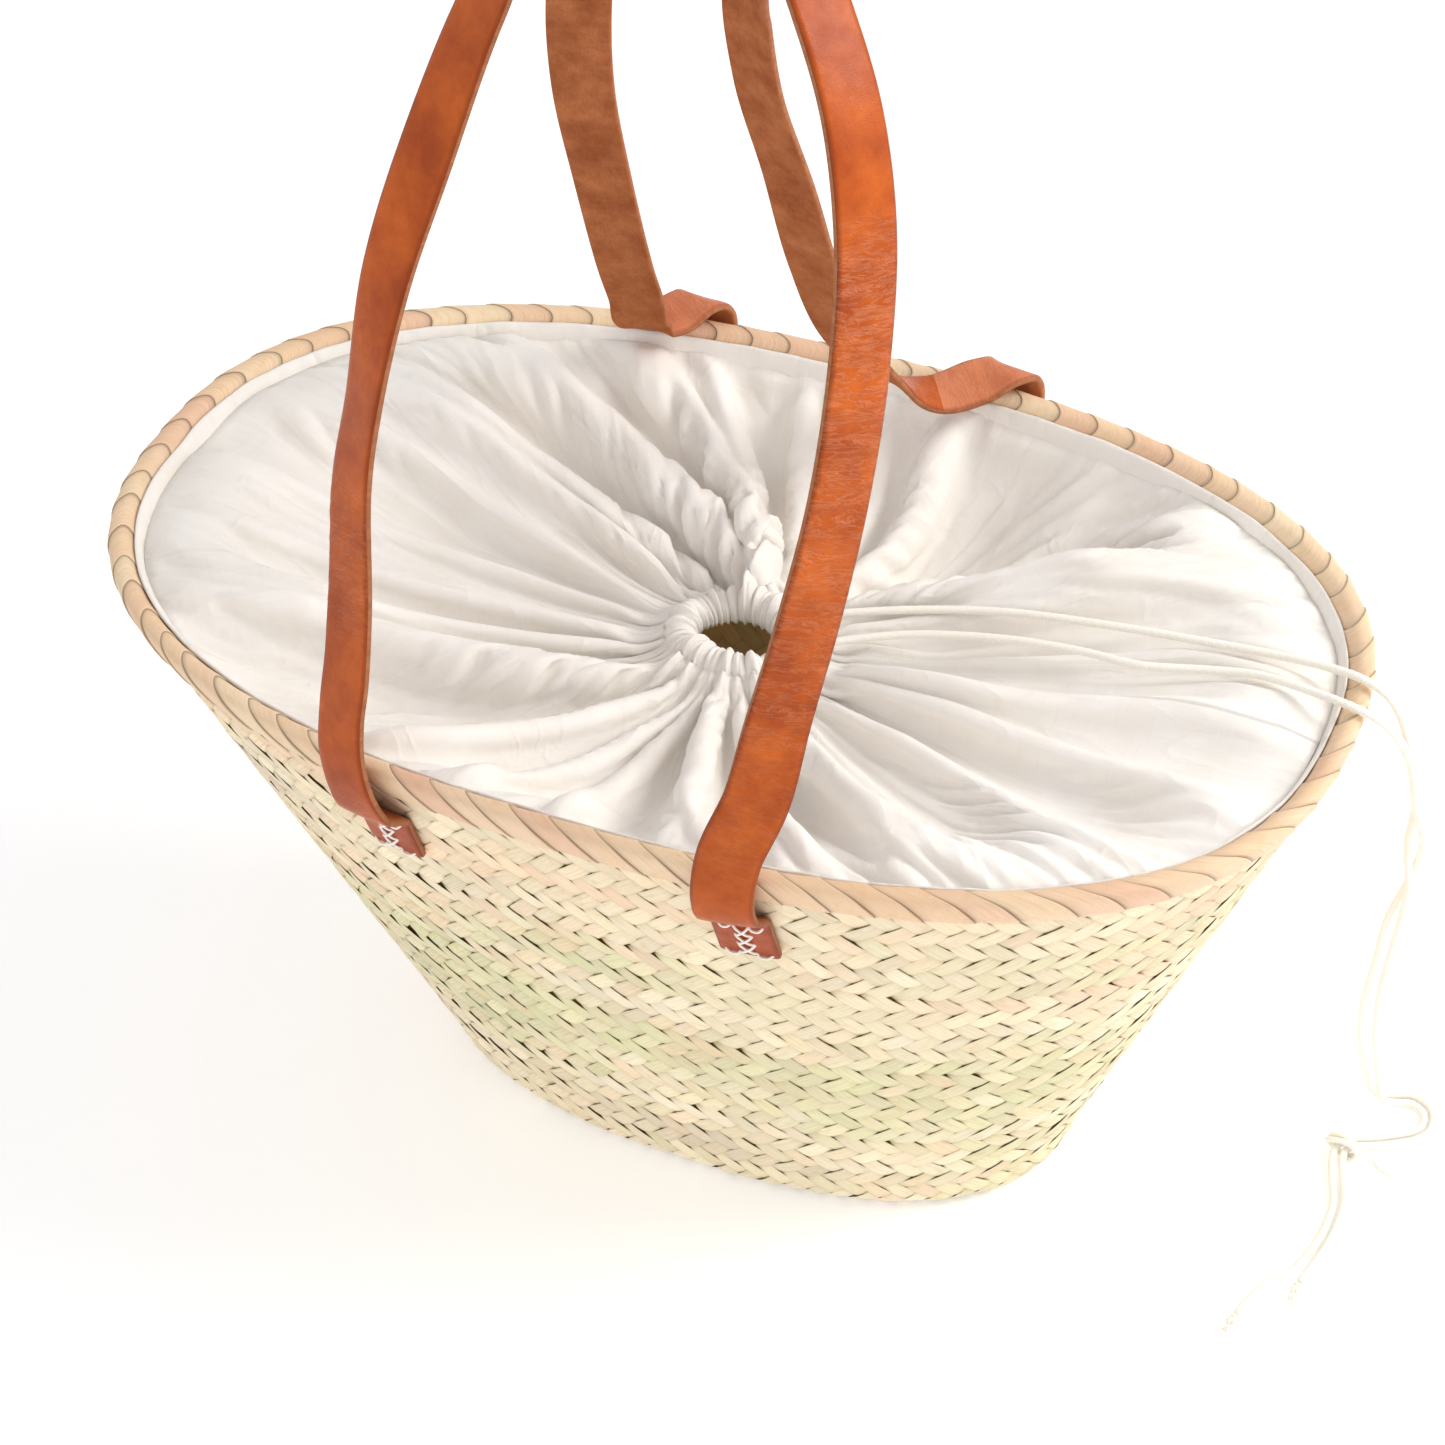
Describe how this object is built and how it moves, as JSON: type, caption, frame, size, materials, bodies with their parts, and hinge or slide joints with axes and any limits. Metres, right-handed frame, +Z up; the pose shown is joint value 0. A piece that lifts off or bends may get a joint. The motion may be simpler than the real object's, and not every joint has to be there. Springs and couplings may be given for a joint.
{
  "type": "woven market basket",
  "caption": "Boat-shaped woven palm-leaf market basket with two long leather shoulder straps and a gathered cotton drawstring closure.",
  "frame": {"origin": "centre of the base on the surface it stands on", "axes": "+Z up, X along the mouth, -Y towards the front"},
  "size_m": [0.5738, 0.3248, 0.6481],
  "materials": {
    "palm_plait": "dry plaited palm leaf",
    "palm_rim": "smooth wound palm leaf",
    "cotton_cloth": "unbleached cotton muslin",
    "cotton_cord": "soft cotton cord",
    "leather": "semi-gloss cognac leather, suede flesh side",
    "waxed_thread": "waxed thread"
  },
  "bodies": {
    "basket": {"base_plait": "palm_plait", "wall_plait_1": "palm_plait", "wall_plait_2": "palm_plait", "wall_plait_3": "palm_plait", "wall_plait_4": "palm_plait", "rim_core": "palm_plait", "rim_whipping": "palm_rim", "closure_panel": "cotton_cloth", "drawstring_casing": "cotton_cloth", "drawstring_loop": "cotton_cord", "drawstring_strand_a": "cotton_cord", "drawstring_strand_b": "cotton_cord", "drawstring_tie_knot": "cotton_cord", "drawstring_end_knot_a": "cotton_cord", "drawstring_end_knot_b": "cotton_cord", "front_left_strap_end": "leather", "front_right_strap_end": "leather", "back_left_strap_end": "leather", "back_right_strap_end": "leather", "front_left_lacing": "waxed_thread", "front_right_lacing": "waxed_thread", "back_left_lacing": "waxed_thread", "back_right_lacing": "waxed_thread"},
    "front_strap": {"front_strap": "leather"},
    "back_strap": {"back_strap": "leather"}
  },
  "joints": [
    {"name": "front_strap_swing", "type": "hinge", "parent": "basket", "child": "front_strap", "pos_m": [0, -0.1565, 0.2695], "axis": [1, 0, 0], "range_deg": [-2, 140]},
    {"name": "back_strap_swing", "type": "hinge", "parent": "basket", "child": "back_strap", "pos_m": [0, 0.1565, 0.2695], "axis": [-1, 0, 0], "range_deg": [-2, 140]}
  ]
}
